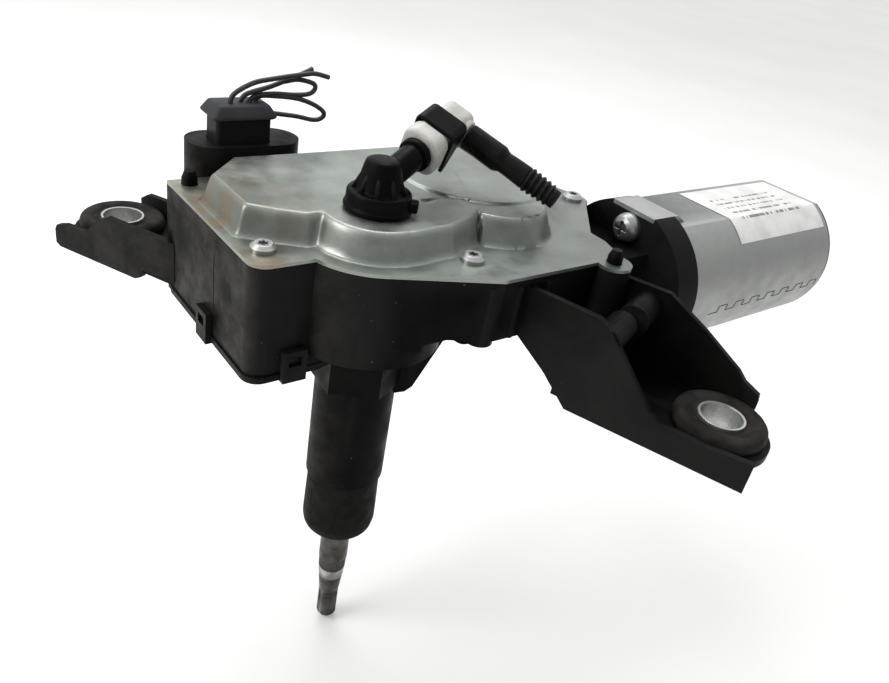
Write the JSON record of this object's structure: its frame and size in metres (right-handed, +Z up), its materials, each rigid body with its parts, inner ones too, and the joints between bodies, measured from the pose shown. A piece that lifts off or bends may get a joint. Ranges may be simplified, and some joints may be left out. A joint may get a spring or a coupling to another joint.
{
  "type": "wiper gear motor",
  "caption": "Electric wiper gear motor with a long hollow wiper shaft, two rubber-mounted arms, a pressed cover and a washer hose connector on top.",
  "frame": {"origin": "on the wiper shaft axis, in the middle of the thread that takes the arm nut", "axes": "+Z up the wiper shaft, away from its threaded tip; +X along the motor, away from the gears"},
  "size_m": [0.2777, 0.2268, 0.2133],
  "materials": {
    "black_moulding": "satin, slightly dusty, fine moulding texture",
    "black_lid": "satin",
    "plated_steel": "pressed steel with a dull zinc plating and some stains",
    "can_steel": "drawn steel, dull zinc plating",
    "screw_steel": "plated screws",
    "ground_steel": "ground",
    "shaft_steel": "dark, weathered, with a bright ring",
    "bronze": "sintered, oily",
    "contact_brass": "stamped",
    "copper": "bare copper",
    "copper_wire": "lacquered wire",
    "magnet": "dark ferrite",
    "core_iron": "stacked sheets",
    "carbon": "pressed carbon",
    "white_nylon": "natural nylon",
    "off_white_plastic": "slightly yellowed",
    "black_rubber": "matte, greyed by age",
    "seal_rubber": "smooth",
    "black_plastic": "satin",
    "wire_cover": "smooth sleeve",
    "label": "blank printed film",
    "board": "green lacquer",
    "sleeve_steel": "bright zinc"
  },
  "bodies": {
    "case": {"gear_housing": "black_moulding", "cover_plate": "plated_steel", "cover_seal": "seal_rubber", "cover_screws": "screw_steel", "bottom_cover": "black_lid", "circuit_board": "board", "terminal_pins": "contact_brass", "contact_springs": "contact_brass", "shaft_cap": "black_rubber", "shaft_bushings": "bronze", "thrust_washers": "ground_steel", "wheel_axle": "ground_steel", "motor_yoke": "can_steel", "field_magnets": "magnet", "motor_end_cap": "black_lid", "brush_holder": "black_plastic", "carbon_brushes": "carbon", "brush_springs": "contact_brass", "suppression_chokes": "copper_wire", "armature_bearings": "bronze", "motor_screws": "screw_steel", "rating_label": "label", "mount_grommets": "black_rubber", "mount_sleeves": "sleeve_steel", "inlet_elbow": "black_plastic", "elbow_seal": "seal_rubber"},
    "wiper_shaft": {"output_shaft": "shaft_steel", "output_pinion": "white_nylon", "shaft_circlip": "ground_steel", "jet_insert": "black_plastic"},
    "link": {"swing_link": "ground_steel", "link_pin": "ground_steel"},
    "sector": {"sector_gear": "white_nylon", "crank_bushing": "bronze"},
    "wheel": {"worm_wheel": "white_nylon", "crank_pin": "ground_steel", "contact_disc": "copper"},
    "rotor": {"armature_shaft": "ground_steel", "worm": "ground_steel", "armature_core": "core_iron", "armature_windings": "copper_wire", "commutator": "copper"},
    "connector": {"quick_connector": "off_white_plastic", "washer_hose": "black_rubber"},
    "clip": {"retaining_clip": "black_plastic"},
    "plug": {"plug_housing": "black_plastic", "plug_boot": "black_plastic", "harness_wires": "wire_cover"}
  },
  "joints": [
    {"name": "wiper_sweep", "type": "hinge", "parent": "case", "child": "wiper_shaft", "pos_m": [0, 0, 0.117], "axis": [0, 0, 1], "range_deg": [0, 96]},
    {"name": "link_swing", "type": "hinge", "parent": "case", "child": "link", "pos_m": [0, 0, 0.1656], "axis": [0, 0, 1], "range_deg": [0, 39]},
    {"name": "sector_turn", "type": "hinge", "parent": "link", "child": "sector", "pos_m": [0.01919, 0.01441, 0.161], "axis": [0, 0, 1], "range_deg": [-58, 0]},
    {"name": "wheel_spin", "type": "hinge", "parent": "case", "child": "wheel", "pos_m": [0.052, 0.019, 0.1454], "axis": [0, 0, 1], "continuous": true},
    {"name": "rotor_spin", "type": "hinge", "parent": "case", "child": "rotor", "pos_m": [0.12, -0.0195, 0.1454], "axis": [1, 0, 0], "continuous": true},
    {"name": "connector_swivel", "type": "hinge", "parent": "case", "child": "connector", "pos_m": [0.01772, 0.0077, 0.19018], "axis": [0.8858, 0.3852, 0.2588], "range_deg": [-30, 0]},
    {"name": "clip_lift", "type": "slide", "parent": "connector", "child": "clip", "axis": [-0.0867, -0.4106, 0.9077], "range_m": [0, 0.005]},
    {"name": "plug_pull", "type": "slide", "parent": "case", "child": "plug", "axis": [0, 0, 1], "range_m": [0, 0.02]}
  ],
  "couplings": [
    {"joint": "link_swing", "follows": "wiper_sweep", "ratio": 0.3988},
    {"joint": "sector_turn", "follows": "wiper_sweep", "ratio": -0.6012},
    {"joint": "rotor_spin", "follows": "wheel_spin", "ratio": -66}
  ]
}
